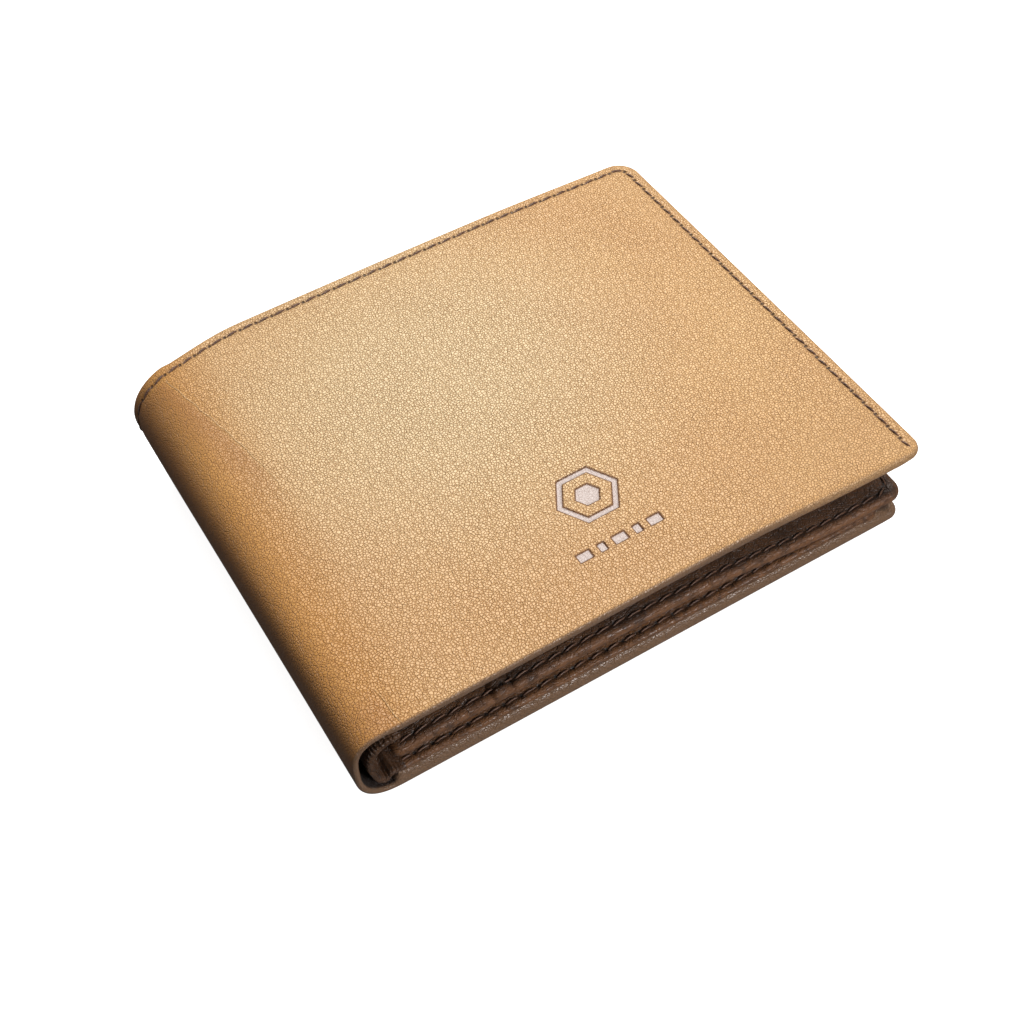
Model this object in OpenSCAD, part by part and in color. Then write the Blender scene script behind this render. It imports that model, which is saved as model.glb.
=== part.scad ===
// Bifold wallet: a leather cover folded round a soft spine, with a note compartment behind
// the inner bodies, card pockets in both halves and a loose centre flap between them.
// The closed wallet lies on its back cover: spine towards -X, open long side towards -Y.

/* [Wallet] */
// Length of the closed wallet, spine to fore edge
wallet_w = 120; // [108:1:140]
// Depth of the closed wallet, along the spine
wallet_d = 100; // [84:1:118]
// Height of the closed wallet
wallet_h = 19; // [18:0.5:25]
// Radius of the cover's corners in plan
corner_r = 3; // [2:0.5:6]
// How far the back cover and the flap stop short of the front cover's fore edge
fore_inset = 2.2; // [1:0.1:4]

/* [Cover] */
// Thickness of the cover leather
cover_t = 1.1; // [0.8:0.05:1.3]
// Thickness of the board inside each cover
board_t = 1; // [0.6:0.05:1.2]
// Width of the turned-in hem round each cover
hem_w = 9; // [6:0.5:12]
// Thickness of the lining cloth in the note compartment
lining_t = 0.3; // [0.2:0.05:0.5]

/* [Inner bodies] */
// Clear height of the note compartment when it is empty
note_gap = 0.4; // [0.3:0.05:0.6]
// Thickness of an inner body panel
inner_t = 1.3; // [0.8:0.05:1.5]
// How far the back inner body stops short of the cover at the open long side
back_inner_inset = 0.4; // [0.2:0.1:1.5]
// How far the front inner body stops short of the cover at the open long side
front_inner_inset = 1.8; // [0.4:0.1:2.5]
// Distance from an inner body's open edge to its seam
inner_seam_in = 1.6; // [1.4:0.1:2.5]
// Width of the raised rim that closes the note compartment at the sewn sides
rim_w = 5; // [3.5:0.5:7]

/* [Card pockets] */
// Width of a bank card, as ISO 7810 ID-1 gives it
card_w = 85.6; // [85.6:0.1:86.5]
// Spare width of a slot at each end of the card
card_play = 2; // [1:0.25:3]
// Thickness of a pocket panel
pocket_t = 0.8; // [0.6:0.05:0.9]
// Slit between two pocket panels
pocket_slit = 0.1; // [0.05:0.05:0.2]
// Distance from one pocket's mouth to the next
pocket_step = 13; // [10:0.5:15]
// Distance from the open long side to the first pocket's mouth
first_mouth = 15; // [12:0.5:20]

/* [Centre flap] */
// Thickness of a leather face of the flap
flap_face_t = 0.9; // [0.6:0.05:0.95]
// Thickness of the flap's board
flap_core_t = 0.5; // [0.4:0.05:0.6]
// Thickness of the clear window film
film_t = 0.2; // [0.15:0.05:0.25]
// Height of the flap's window
window_d = 58; // [40:1:64]
// Distance from the flap's edge to its seam
flap_seam_in = 2; // [1.6:0.1:2.8]
// Distance from the start of the spine's curve to the flap's hinge line
hinge_in = 1; // [0.8:0.1:4]

/* [Spine] */
// Gap between the spine's stiffener and the bridge lining
spine_gap = 1.1; // [0.6:0.1:1.4]
// Thickness of the stiffener strip glued inside the spine leather
stiffener_t = 0.4; // [0.3:0.05:0.6]
// Thickness of the bridge lining that joins the two inner bodies
bridge_t = 1.1; // [0.8:0.05:1.2]

/* [Stitching] */
// Distance from an edge to its seam
seam_in = 2.3; // [1.8:0.1:3]
// Pitch of the stitches
stitch_pitch = 3.5; // [2.8:0.1:4.5]
// Length of a stitch
stitch_l = 2.5; // [2:0.1:2.7]
// Width of the thread
thread_w = 0.55; // [0.4:0.05:0.7]
// Depth of the groove that the thread lies in
thread_t = 0.25; // [0.2:0.05:0.35]

/* [Hidden] */

$fn = 64;

TAN = [0.80, 0.61, 0.38];
BROWN = [0.30, 0.18, 0.13];
DARK = [0.20, 0.12, 0.09];
THREAD = [0.22, 0.12, 0.08];
CLOTH = [0.33, 0.24, 0.18];
BOARD = [0.72, 0.66, 0.55];
FILM = [0.85, 0.90, 0.92];

eps = 0.05;                                   // cutters pass this far through a face
half_gap = 0.3;                               // gap between a half and the moving spine
fit_gap = 0.1;                                // gap round a piece laid inside another
mid_z = wallet_h / 2;
near_y = -wallet_d / 2;
far_y = wallet_d / 2;

// spine: arcs about the line (spine_x, mid_z), from the bottom of the wallet to its top
spine_x = -wallet_w / 2 + mid_z;
stiffener_r = mid_z - cover_t;
bridge_r = stiffener_r - stiffener_t - spine_gap;
hollow_r = bridge_r - bridge_t;

// halves: everything is drawn as the back half; the front half is its mirror image in height
half_x = spine_x + half_gap;                  // where a half starts, next to the spine
front_fore_x = wallet_w / 2;
back_fore_x = front_fore_x - fore_inset;
slab_t = 2 * cover_t + board_t;               // hem over board over leather
body_z = slab_t + note_gap;
pocket_z = body_z + inner_t;
body_fore_x = back_fore_x - fit_gap;
body_r = corner_r - fit_gap;

// card pockets
slot_w = card_w + 2 * card_play;
pocket_side = 5;                              // sewn margin at each end of a slot
pocket_x0 = half_x + pocket_side;
pocket_x1 = pocket_x0 + slot_w + 2 * pocket_side;
pocket_far_y = far_y - rim_w;

// centre flap, hinged on a web that stands on the back inner body
flap_t = 2 * flap_face_t + flap_core_t + film_t;
hinge_x = spine_x + hinge_in;
hinge_z = mid_z;
fold_r = 0.7;                                 // rolled leather edge at the hinge
web_t = 0.9;
flap_x0 = hinge_x + 0.9;
flap_fore_x = back_fore_x - fit_gap;
flap_near_y = near_y + fit_gap;
flap_far_y = far_y - 4;
flap_z0 = hinge_z - flap_t / 2;
flap_edge = 4;                                // leather meets leather outside the board
flap_r = corner_r;
core_z = flap_z0 + flap_face_t + film_t;

// stitches of a seam are numbered from 0 to seam_count, and stitch_at gives a stitch's middle
function seam_count(length) = floor((length - stitch_l) / stitch_pitch);
function stitch_at(length, i) = length / 2 + (i - seam_count(length) / 2) * stitch_pitch;

// ---- shared shapes ----

// A flat sheet with its two fore corners rounded
module sheet(x0, x1, y0, y1, r, z0, t) {
    translate([0, 0, z0]) linear_extrude(t) {
        translate([x0, y0]) square([x1 - x0 - r, y1 - y0]);
        translate([x0, y0 + r]) square([x1 - x0, y1 - y0 - 2 * r]);
        for (y = [y0 + r, y1 - r]) translate([x1 - r, y]) circle(r);
    }
}

// A straight bar from one corner to the other
module bar(p0, p1) {
    translate(p0) cube(p1 - p0);
}

// A row of stitches along X, starting at p
module seam_x(p, length) {
    for (i = [0 : seam_count(length)])
        translate([p[0] + stitch_at(length, i) - stitch_l / 2, p[1] - thread_w / 2, p[2]])
            cube([stitch_l, thread_w, thread_t]);
}

// A row of stitches along Y, starting at p
module seam_y(p, length) {
    for (i = [0 : seam_count(length)])
        translate([p[0] - thread_w / 2, p[1] + stitch_at(length, i) - stitch_l / 2, p[2]])
            cube([thread_w, stitch_l, thread_t]);
}

// The groove under a row of stitches, along X or along Y, open away from the leather
module groove_x(p, length) {
    translate([p[0], p[1] - thread_w / 2 - eps, p[2] - eps])
        cube([length, thread_w + 2 * eps, thread_t + 2 * eps]);
}

module groove_y(p, length) {
    translate([p[0] - thread_w / 2 - eps, p[1], p[2] - eps])
        cube([thread_w + 2 * eps, length, thread_t + 2 * eps]);
}

// Turns a back piece into the matching front piece
module to_front() {
    translate([0, 0, wallet_h]) mirror([0, 0, 1]) children();
}

// ---- one half of the wallet, drawn as the back half ----

cover_seam_y = far_y - seam_in;
cover_seam_l = wallet_d - 2 * seam_in;
function cover_seam_x(fore_x) = fore_x - seam_in;
function far_seam_l(fore_x) = cover_seam_x(fore_x) - half_x;

// Cover leather, turned in over the board at three edges
module cover_leather(fore_x) {
    difference() {
        sheet(half_x, fore_x, near_y, far_y, corner_r, 0, slab_t);
        // room for the board
        sheet(half_x - eps, fore_x - cover_t, near_y + cover_t, far_y - cover_t,
              corner_r - cover_t, cover_t, board_t);
        // inside the hem
        bar([half_x - eps, near_y + hem_w, cover_t], [fore_x - hem_w, far_y - hem_w, slab_t + eps]);
        groove_x([half_x - eps, cover_seam_y, 0], far_seam_l(fore_x) + eps);
        groove_y([cover_seam_x(fore_x), near_y + seam_in, 0], cover_seam_l);
    }
}

module cover_board(fore_x) {
    sheet(half_x, fore_x - cover_t - fit_gap, near_y + cover_t + fit_gap, far_y - cover_t - fit_gap,
          corner_r - cover_t - fit_gap, cover_t, board_t);
}

module note_lining(fore_x) {
    bar([half_x, near_y + hem_w + fit_gap, cover_t + board_t],
        [fore_x - hem_w - fit_gap, far_y - hem_w - fit_gap, cover_t + board_t + lining_t]);
}

module cover_stitching(fore_x) {
    seam_x([half_x, cover_seam_y, 0], far_seam_l(fore_x));
    seam_y([cover_seam_x(fore_x), near_y + seam_in, 0], cover_seam_l);
}

// Inner body, with a rim that closes the note compartment at the far and fore sides
module inner_body(inset) {
    y0 = near_y + inset;
    difference() {
        sheet(half_x, body_fore_x, y0, far_y - fit_gap, body_r, slab_t, pocket_z - slab_t);
        bar([half_x - eps, y0 - eps, slab_t - eps], [body_fore_x - rim_w, far_y - rim_w, body_z]);
        groove_x([half_x - eps, y0 + inner_seam_in, pocket_z - thread_t], body_fore_x - half_x + 2 * eps);
    }
}

module inner_stitching(inset) {
    seam_x([half_x, near_y + inset + inner_seam_in, pocket_z - thread_t], body_fore_x - body_r - half_x);
}

// Card pocket panel number i, counted from the open long side
module card_pocket(i) {
    z0 = pocket_z + pocket_slit + i * (pocket_t + pocket_slit);
    mouth_y = near_y + first_mouth + i * pocket_step;
    seams = [pocket_x0 + seam_in, pocket_x1 - seam_in];
    difference() {
        bar([pocket_x0, mouth_y, z0], [pocket_x1, pocket_far_y, z0 + pocket_t]);
        for (x = seams)
            groove_y([x, mouth_y - eps, z0 + pocket_t - thread_t], pocket_far_y - mouth_y + 2 * eps);
    }
}

// Stitches down both ends of the pockets; each step of the stack has its own run
module pocket_stitching() {
    for (i = [0 : 2], x = [pocket_x0 + seam_in, pocket_x1 - seam_in]) {
        z0 = pocket_z + pocket_slit + i * (pocket_t + pocket_slit);
        mouth_y = near_y + first_mouth + i * pocket_step;
        run = i < 2 ? pocket_step : pocket_far_y - mouth_y;
        seam_y([x, mouth_y, z0 + pocket_t - thread_t], run);
    }
}

module back_cover_leather() { color(TAN) cover_leather(back_fore_x); }
module back_cover_board() { color(BOARD) cover_board(back_fore_x); }
module back_note_lining() { color(CLOTH) note_lining(back_fore_x); }
module back_cover_stitching() { color(THREAD) cover_stitching(back_fore_x); }
module back_inner_body() { color(BROWN) inner_body(back_inner_inset); }
module back_inner_stitching() { color(THREAD) inner_stitching(back_inner_inset); }
module back_card_pocket(i) { color(DARK) card_pocket(i); }
module back_pocket_stitching() { color(THREAD) pocket_stitching(); }

module front_cover_leather() { color(TAN) to_front() cover_leather(front_fore_x); }
module front_cover_board() { color(BOARD) to_front() cover_board(front_fore_x); }
module front_note_lining() { color(CLOTH) to_front() note_lining(front_fore_x); }
module front_cover_stitching() { color(THREAD) to_front() cover_stitching(front_fore_x); }
module front_inner_body() { color(BROWN) to_front() inner_body(front_inner_inset); }
module front_inner_stitching() { color(THREAD) to_front() inner_stitching(front_inner_inset); }
module front_card_pocket(i) { color(DARK) to_front() card_pocket(i); }
module front_pocket_stitching() { color(THREAD) to_front() pocket_stitching(); }

// ---- spine ----

// Half a tube about the spine's line, on its -X side
module half_tube(r_out, r_in, y0, y1) {
    translate([spine_x, y0, mid_z]) rotate([-90, 0, 0]) difference() {
        cylinder(r = r_out, h = y1 - y0);
        translate([0, 0, -eps]) cylinder(r = r_in, h = y1 - y0 + 2 * eps);
        translate([0, -r_out - eps, -eps]) cube([r_out + eps, 2 * (r_out + eps), y1 - y0 + 2 * eps]);
    }
}

module spine_leather() {
    color(TAN) difference() {
        half_tube(mid_z, stiffener_r, near_y, far_y);
        half_tube(mid_z + eps, mid_z - 1.5 * thread_t - eps, cover_seam_y - thread_w / 2 - eps,
                  cover_seam_y + thread_w / 2 + eps);
    }
}

module spine_stiffener() {
    color(BOARD) half_tube(stiffener_r, stiffener_r - stiffener_t, near_y + hem_w, far_y - hem_w);
}

module spine_bridge_lining() {
    color(DARK) half_tube(bridge_r, hollow_r, near_y + back_inner_inset, far_y - rim_w);
}

// Stitches round the far end of the spine
module spine_stitching() {
    arc = PI * mid_z;
    count = seam_count(arc);
    turn = 180 / arc * stitch_pitch;
    color(THREAD) for (i = [0 : count])
        translate([spine_x, cover_seam_y, mid_z]) rotate([0, (i - count / 2) * turn, 0])
            translate([-mid_z + thread_t / 2, -thread_w / 2, -stitch_l / 2])
                cube([thread_t, thread_w, stitch_l]);
}

// ---- centre flap ----

// Leather web that stands on the back inner body and carries the flap
module flap_hinge_web() {
    color(BROWN) bar([hinge_x - web_t / 2, flap_near_y + corner_r, pocket_z],
                     [hinge_x + web_t / 2, flap_far_y - corner_r, hinge_z - fold_r - fit_gap]);
}

// Rolled edge of the flap that turns on top of the web
module flap_hinge_fold() {
    color(BROWN) {
        translate([hinge_x, flap_near_y + corner_r, hinge_z]) rotate([-90, 0, 0])
            cylinder(r = fold_r, h = flap_far_y - flap_near_y - 2 * corner_r);
        bar([hinge_x, flap_near_y + corner_r, core_z],
            [flap_x0 + flap_edge, flap_far_y - corner_r, core_z + flap_core_t]);
    }
}

module flap_core_board() {
    color(BOARD) bar([flap_x0 + flap_edge + fit_gap, flap_near_y + flap_edge, core_z],
                     [flap_fore_x - flap_edge, flap_far_y - flap_edge, core_z + flap_core_t]);
}

// Window cut in the flap's lower face
window_w = card_w + 2;
window_x0 = (flap_x0 + flap_fore_x - window_w) / 2;
window_y0 = (flap_near_y + flap_far_y - window_d) / 2;
film_lap = 4;

module flap_window_film() {
    color(FILM) bar([window_x0 - film_lap, window_y0 - film_lap, flap_z0 + flap_face_t],
                    [window_x0 + window_w + film_lap, window_y0 + window_d + film_lap, core_z]);
}

flap_seam_l = flap_fore_x - flap_r - flap_x0;
flap_fore_seam_l = flap_far_y - flap_near_y - 2 * flap_r;
flap_seam_ys = [flap_near_y + flap_seam_in, flap_far_y - flap_seam_in];
flap_seam_x = flap_fore_x - flap_seam_in;

// One leather face of the flap with its stitch grooves, thickness up from z
module flap_face(z, groove_z) {
    difference() {
        sheet(flap_x0, flap_fore_x, flap_near_y, flap_far_y, flap_r, z, flap_face_t);
        for (y = flap_seam_ys) groove_x([flap_x0 - eps, y, groove_z], flap_seam_l + eps);
        groove_y([flap_seam_x, flap_near_y + flap_r, groove_z], flap_fore_seam_l);
    }
}

module flap_seams(z) {
    for (y = flap_seam_ys) seam_x([flap_x0, y, z], flap_seam_l);
    seam_y([flap_seam_x, flap_near_y + flap_r, z], flap_fore_seam_l);
}

flap_top_z = core_z + flap_core_t + flap_face_t;
slit_w = 0.8;
slit_ys = [near_y + first_mouth, near_y + first_mouth + 2 * pocket_step];

module flap_upper_face() {
    color(BROWN) difference() {
        flap_face(core_z + flap_core_t, flap_top_z - thread_t);
        // card slits
        for (y = slit_ys)
            bar([(flap_x0 + flap_fore_x - slot_w) / 2, y, core_z + flap_core_t - eps],
                [(flap_x0 + flap_fore_x + slot_w) / 2, y + slit_w, flap_top_z + eps]);
    }
}

module flap_lower_face() {
    color(BROWN) difference() {
        flap_face(flap_z0, flap_z0);
        bar([window_x0, window_y0, flap_z0 - eps],
            [window_x0 + window_w, window_y0 + window_d, flap_z0 + flap_face_t + eps]);
    }
}

module flap_stitching() { color(THREAD) flap_seams(flap_top_z - thread_t); }
module flap_underside_stitching() { color(THREAD) flap_seams(flap_z0); }

back_cover_leather();
back_cover_board();
back_note_lining();
back_cover_stitching();
back_inner_body();
back_inner_stitching();
back_card_pocket(0);  // back_card_pocket_1
back_card_pocket(1);  // back_card_pocket_2
back_card_pocket(2);  // back_card_pocket_3
back_pocket_stitching();
front_cover_leather();
front_cover_board();
front_note_lining();
front_cover_stitching();
front_inner_body();
front_inner_stitching();
front_card_pocket(0);  // front_card_pocket_1
front_card_pocket(1);  // front_card_pocket_2
front_card_pocket(2);  // front_card_pocket_3
front_pocket_stitching();
spine_leather();
spine_stiffener();
spine_stitching();
spine_bridge_lining();
flap_hinge_web();
flap_hinge_fold();
flap_upper_face();
flap_core_board();
flap_lower_face();
flap_window_film();
flap_stitching();
flap_underside_stitching();
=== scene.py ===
import math

import bmesh
import bpy
import numpy as np
from mathutils import Matrix, Vector

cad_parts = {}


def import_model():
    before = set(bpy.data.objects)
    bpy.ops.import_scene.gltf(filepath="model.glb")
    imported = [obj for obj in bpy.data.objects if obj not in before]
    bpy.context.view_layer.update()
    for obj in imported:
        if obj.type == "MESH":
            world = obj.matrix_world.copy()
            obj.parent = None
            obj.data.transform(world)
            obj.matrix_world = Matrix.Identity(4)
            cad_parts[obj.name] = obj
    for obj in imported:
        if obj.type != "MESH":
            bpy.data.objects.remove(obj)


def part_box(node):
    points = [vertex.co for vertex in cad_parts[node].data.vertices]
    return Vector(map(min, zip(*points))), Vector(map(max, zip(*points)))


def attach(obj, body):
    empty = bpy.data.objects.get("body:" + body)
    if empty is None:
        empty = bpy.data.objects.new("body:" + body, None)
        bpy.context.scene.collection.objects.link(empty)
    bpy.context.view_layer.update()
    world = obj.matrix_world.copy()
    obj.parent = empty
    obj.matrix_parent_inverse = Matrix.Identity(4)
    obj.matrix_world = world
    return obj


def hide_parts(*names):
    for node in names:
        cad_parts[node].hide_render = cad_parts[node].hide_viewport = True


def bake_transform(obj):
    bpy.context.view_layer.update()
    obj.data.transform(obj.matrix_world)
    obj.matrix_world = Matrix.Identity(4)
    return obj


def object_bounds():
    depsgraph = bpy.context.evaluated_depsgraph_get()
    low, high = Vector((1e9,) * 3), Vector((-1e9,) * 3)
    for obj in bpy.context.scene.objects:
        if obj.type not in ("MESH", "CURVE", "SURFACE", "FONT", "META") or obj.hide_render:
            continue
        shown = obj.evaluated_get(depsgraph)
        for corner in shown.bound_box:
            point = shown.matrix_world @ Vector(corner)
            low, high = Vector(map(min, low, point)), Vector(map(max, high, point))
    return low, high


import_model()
cad_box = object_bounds()

# Bifold wallet, closed: spine towards -X, open long side towards -Y. All work is in millimetres,
# turned to metres when a mesh is made.
MM = 0.001


def box_mm(node):
    lo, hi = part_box(node)
    return np.array(lo) / MM, np.array(hi) / MM


back_lo, back_hi = box_mm("back_cover_leather")
front_lo, front_hi = box_mm("front_cover_leather")
spine_hi = box_mm("spine_leather")[1]
body_hi = box_mm("back_inner_body")[1]
upper_lo, upper_hi = box_mm("flap_upper_face")
lower_lo = box_mm("flap_lower_face")[0]
film_lo, film_hi = box_mm("flap_window_film")
core_lo, core_hi = box_mm("flap_core_board")
lining_lo, lining_hi = box_mm("back_note_lining")
web_lo, web_hi = box_mm("flap_hinge_web")

HEIGHT = front_hi[2]
MID = HEIGHT / 2
NEAR, FAR = front_lo[1], front_hi[1]
SPINE_X = spine_hi[0]                 # where the flat covers turn into the spine
HALF_X = back_lo[0]
SLAB = back_hi[2]                     # hem over board over leather
SKIN = 1.1                            # cover leather
BOARD_T = SLAB - 2 * SKIN
HEM = lining_lo[1] - NEAR             # width of the turned-in hem, with the gap to the lining
SPINE_EDGE = 1.2                      # thickness of the turned edge at the ends of the spine
CORNER = 5.0                          # radius of the far corner at the fore edge
COVER_CORNERS = {True: (0, 3.0, CORNER, 0), False: (0, 2.6, CORNER, 0)}     # by front
SEWN_LESS = 0.9                       # the sewn edges hold no board and are pressed thinner
SEWN_FROM, SEWN_TO = 5.4, 2.8         # how far from the edge that starts and is complete
SEAM_IN = 2.5                         # from the edge to the seam
PITCH = 3.5                           # from stitch to stitch
NO_EDGE = 1e3                         # place of an edge that a piece doesn't have
AWAY = 9.0                            # distance noted where a seam, mark or crease is far off


# ---- small helpers ----

def smooth(a, b, v):
    t = np.clip((v - a) / (b - a), 0, 1)
    return t * t * (3 - 2 * t)


def lines(stops, step):
    """Grid lines through every stop, at most step apart. A stop may carry its own step up to it."""
    out, last = [], None
    for stop in stops:
        at, own = stop if isinstance(stop, tuple) else (stop, step)
        if last is None:
            out.append(at)
        elif at - last > 1e-6:
            n = max(1, math.ceil((at - last) / own - 1e-6))
            out.extend(np.linspace(last, at, n + 1)[1:])
        last = at
    return np.array(out)


def round_rows(radius, n=5):
    """Distances from an edge at which a rounded edge of that radius needs a line."""
    return [radius * (1 - math.cos(math.pi / 2 * k / n)) for k in range(1, n + 1)]


def mirrored(a, b, rows, *between):
    """Stops at the same distances from both ends, and others between them."""
    return [a] + [a + r for r in rows] + list(between) + [b - r for r in reversed(rows)] + [b]


def around(a, b, rows):
    """Stops at the same distances outside both ends of a gap."""
    return [a - r for r in reversed(rows)] + [a, b] + [b + r for r in rows]


def in_order(stops):
    """Plain numbers and (number, step) pairs, sorted by place."""
    return sorted(stops, key=lambda s: s[0] if isinstance(s, tuple) else s)


def near_lines(fixed, extra, gap=0.09):
    """All fixed lines, and those of the extra ones that don't crowd them."""
    out = list(fixed)
    for e in extra:
        if min(abs(e - f) for f in out) > gap:
            out.append(e)
    return sorted(out)


def round_depth(d, radius):
    """How far a rounded edge has dropped at distance d from the edge."""
    r = np.maximum(radius, 1e-6)
    k = np.clip(r - d, 0, r)
    return r - np.sqrt(np.maximum(r * r - k * k, 0))


def dent(d, deep, wide):
    """A soft dent, deepest where d is 0."""
    return deep * np.exp(-(d / wide) ** 2)


def inside_rect(x, y, x0, x1, y0, y1):
    return np.minimum(np.minimum(x - x0, x1 - x), np.minimum(y - y0, y1 - y))


def round_corners(x, y, x0, x1, y0, y1, radii):
    """Moves a rectangle's points so that its corners are round. radii: (x0y0, x1y0, x1y1, x0y1)."""
    x, y = x.copy(), y.copy()
    dist = inside_rect(x, y, x0, x1, y0, y1)
    for (cx, sx), (cy, sy), r in (((x0, 1), (y0, 1), radii[0]), ((x1, -1), (y0, 1), radii[1]),
                                  ((x1, -1), (y1, -1), radii[2]), ((x0, 1), (y1, -1), radii[3])):
        if r <= 0:
            continue
        a = 1 - (x - cx) * sx / r
        b = 1 - (y - cy) * sy / r
        inside = (a > 0) & (b > 0)
        a, b = np.clip(a, 0, 1), np.clip(b, 0, 1)
        u, v = a * np.sqrt(1 - b * b / 2), b * np.sqrt(1 - a * a / 2)
        x = np.where(inside, cx + sx * r * (1 - u), x)
        y = np.where(inside, cy + sy * r * (1 - v), y)
        dist = np.where(inside, r * (1 - np.hypot(u, v)), dist)
    return x, y, dist


def near_path(x, y, path):
    """For points in plan: distance to a polyline, the nearest place along it, and its length."""
    best, at, run = np.full(np.shape(x), 1e9), np.zeros(np.shape(x)), 0.0
    for (ax, ay), (bx, by) in zip(path[:-1], path[1:]):
        lx, ly = bx - ax, by - ay
        long = math.hypot(lx, ly)
        t = np.clip(((x - ax) * lx + (y - ay) * ly) / (lx * lx + ly * ly), 0, 1)
        off = np.hypot(x - ax - t * lx, y - ay - t * ly)
        at = np.where(off < best, run + t * long, at)
        best, run = np.minimum(best, off), run + long
    return best, at, run


def along_seam(x, y, path, pitch=PITCH):
    """Distance to a seam, and the place along it counted in stitches: whole numbers are the
    middles of stitches."""
    off, at, long = near_path(x, y, path)
    return off, at / long * int(long / pitch)


def outside_rect(x, y, x0, x1, y0, y1):
    return np.hypot(np.maximum(np.maximum(x0 - x, x - x1), 0),
                    np.maximum(np.maximum(y0 - y, y - y1), 0))


UNSET = {"press": 0.0, "handled": 0.0, "flesh": 0.0}      # notes that aren't distances


class Shell:
    """A closed body gathered from levels: a level is the whole grid of points at one depth."""

    def __init__(self, s, y, place):
        middle = lambda v: (v[:-1] + v[1:]) / 2
        self.cell_s, self.cell_y = np.meshgrid(middle(s), middle(y), indexing="ij")
        self.whole = np.ones(self.cell_s.shape, bool)
        self.s, self.y = np.meshgrid(s, y, indexing="ij")
        self.place = place
        self.points, self.notes, self.quads = [], [], []
        self.count = 0

    def level(self, depth, **notes):
        """Adds a grid of points at that depth, with the notes (attributes) it carries."""
        depth = np.broadcast_to(depth, self.s.shape).astype(float)
        xyz = self.place(self.s, self.y, depth)
        index = np.arange(self.s.size).reshape(self.s.shape) + self.count
        self.count += self.s.size
        self.points.append(np.stack(xyz, -1).reshape(-1, 3))
        row = {"grain": np.stack([self.s, self.y, -depth], -1).reshape(-1, 3)}
        row.update({k: np.broadcast_to(v, self.s.shape).reshape(-1) for k, v in notes.items()})
        self.notes.append(row)
        return index

    def runs_on(self, fore, near, width=12.0):
        """The last level is the far side of turned edges: its grain runs on round them."""
        grain = self.notes[-1]["grain"]
        fore_side = (fore - grain[:, 0] < width) & (grain[:, 1] - near > 3.0)
        near_side = grain[:, 1] - near < width
        grain[fore_side, 0] = 2 * fore - grain[fore_side, 0]
        grain[near_side, 1] = 2 * near - grain[near_side, 1]

    def cover(self, index, cells):
        i, j = np.nonzero(cells)
        self.quads.append(np.stack([index[i, j], index[i + 1, j], index[i + 1, j + 1],
                                    index[i, j + 1]], -1))

    def wall(self, high, low, solid, void, ends=False):
        """Walls between two levels wherever solid cells meet void ones, or the grid's border."""
        pad = lambda m, v: np.pad(m, 1, constant_values=v)
        s, v = pad(solid, False), pad(void, ends)
        meet = (s[:-1, 1:-1] & v[1:, 1:-1]) | (v[:-1, 1:-1] & s[1:, 1:-1])
        i, j = np.nonzero(meet)
        self.quads.append(np.stack([high[i, j], low[i, j], low[i, j + 1], high[i, j + 1]], -1))
        meet = (s[1:-1, :-1] & v[1:-1, 1:]) | (v[1:-1, :-1] & s[1:-1, 1:])
        i, j = np.nonzero(meet)
        self.quads.append(np.stack([high[i, j], low[i, j], low[i + 1, j], high[i + 1, j]], -1))

    def close(self, high, low, cells=None):
        """Both levels' faces over the cells, and walls round them."""
        cells = self.whole if cells is None else cells
        self.cover(high, cells)
        self.cover(low, cells)
        self.wall(high, low, cells, ~cells, ends=True)

    def finish(self, name, material):
        gather = lambda k: np.concatenate([n.get(k, np.full(len(n["grain"]), UNSET.get(k, AWAY)))
                                           for n in self.notes])
        return mesh_piece(name, np.concatenate(self.points), np.concatenate(self.quads), material,
                          {k: gather(k) for k in sorted(set().union(*self.notes))})


def in_scene(name, data):
    piece = bpy.data.objects.new(name, data)
    bpy.context.scene.collection.objects.link(piece)
    return piece


def mesh_piece(name, points, quads, material, notes):
    """A mesh object from points in mm, welded, closed and with its faces outwards."""
    used, quads = np.unique(quads, return_inverse=True)
    quads = quads.reshape(-1, 4)
    mesh = bpy.data.meshes.new(name)
    mesh.from_pydata((points[used] * MM).tolist(), [], quads.tolist())
    for key, values in notes.items():
        kind = "FLOAT_VECTOR" if values.ndim == 2 else "FLOAT"
        mesh.attributes.new(key, kind, "POINT").data.foreach_set(
            "vector" if values.ndim == 2 else "value", values[used].astype(np.float32).ravel())
    bm = bmesh.new()
    bm.from_mesh(mesh)
    bmesh.ops.remove_doubles(bm, verts=bm.verts, dist=2e-6)
    bmesh.ops.recalc_face_normals(bm, faces=bm.faces)
    for f in bm.faces:
        f.smooth = True
    for e in bm.edges:
        if len(e.link_faces) == 2 and e.calc_face_angle(0) > math.radians(38):
            e.smooth = False
    bm.to_mesh(mesh)
    bm.free()
    mesh.materials.append(material)
    return in_scene(name, mesh)


def slab(name, material, s, y, place, top, bottom, step=4.0):
    """A plain closed sheet between two depths, from the stops of its grid."""
    shell = Shell(lines(s, step), lines(y, step), place)
    shell.close(shell.level(top), shell.level(bottom))
    return shell.finish(name, material)


# ---- finishes ----

def put(tree, socket, value):
    if isinstance(value, bpy.types.NodeSocket):
        tree.links.new(value, socket)
    else:
        socket.default_value = value


def add_node(tree, kind, inputs=(), **settings):
    n = tree.nodes.new(kind)
    for key, value in settings.items():
        setattr(n, key, value)
    for key, value in dict(inputs).items():
        put(tree, n.inputs[key], value)
    return n


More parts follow.
